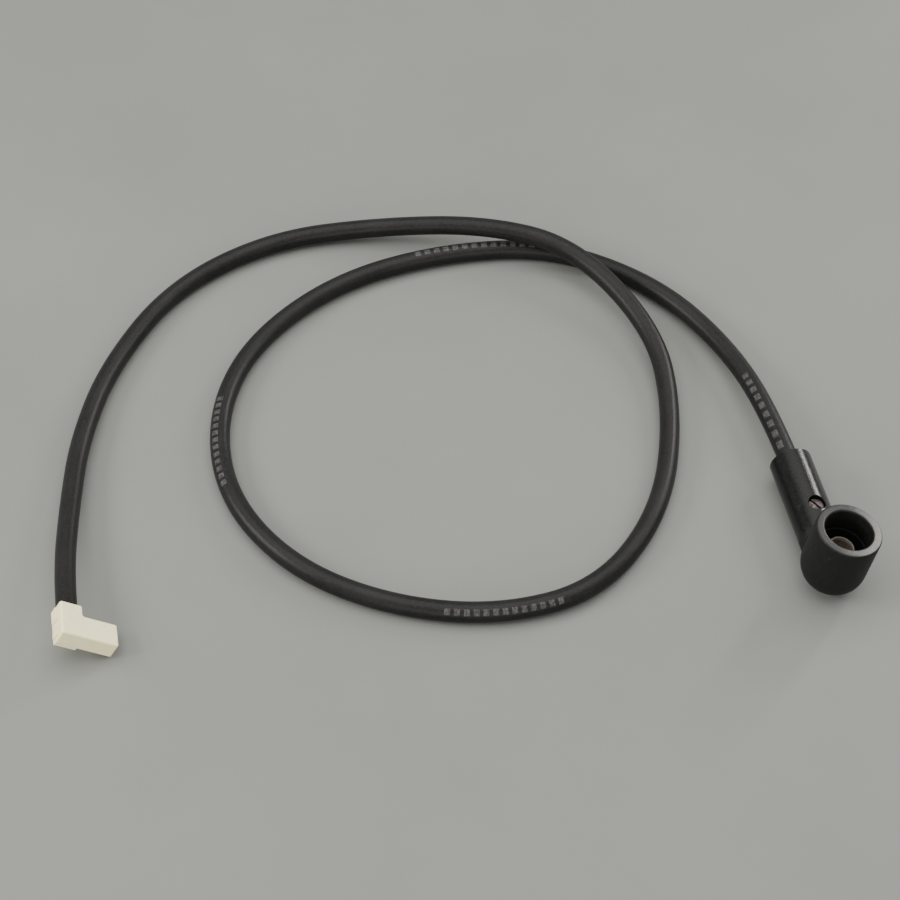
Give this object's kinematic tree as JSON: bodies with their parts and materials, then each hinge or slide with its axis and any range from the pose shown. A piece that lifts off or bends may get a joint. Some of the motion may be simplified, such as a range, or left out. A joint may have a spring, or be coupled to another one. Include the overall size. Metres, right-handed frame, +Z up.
{
  "type": "flame sensor lead",
  "caption": "High-voltage cable with a moulded right-angle socket for a flame electrode at one end and a right-angle push-on plug at the other.",
  "frame": {"origin": "under the middle of the right-angle socket, on the plane that the lead lies on", "axes": "+Y along the socket's stem towards the cable, +Z up, +X away from the plug"},
  "size_m": [0.2666, 0.2047, 0.0286],
  "materials": {
    "socket_moulding": "black moulding, satin to gloss, rim worn grey",
    "terminal_brass": "turned",
    "contact_brass": "turned, slightly dull",
    "spring_steel": "drawn wire",
    "screw_steel": "zinc plated, dull",
    "sheath_rubber": "matte black silicone rubber",
    "insulation_plastic": "natural",
    "core_copper": "tinned copper strands",
    "plug_nylon": "cream nylon, satin",
    "cover_nylon": "cream nylon, satin",
    "tinned_brass": "tinned sheet brass"
  },
  "bodies": {
    "lead": {"socket_housing": "socket_moulding", "terminal_block": "terminal_brass", "contact_sleeve": "contact_brass", "contact_spring": "spring_steel", "cable_sheath": "sheath_rubber", "cable_insulation": "insulation_plastic", "cable_core": "core_copper", "plug_housing": "plug_nylon", "plug_cover": "cover_nylon", "plug_terminal": "tinned_brass"},
    "screw": {"terminal_screw": "screw_steel"}
  },
  "joints": [
    {"name": "terminal_screw_turn", "type": "hinge", "parent": "lead", "child": "screw", "pos_m": [-0.00092, 0.004, 0.01214], "axis": [0.1599, 0, 0.9871], "range_deg": [0, 630]}
  ]
}
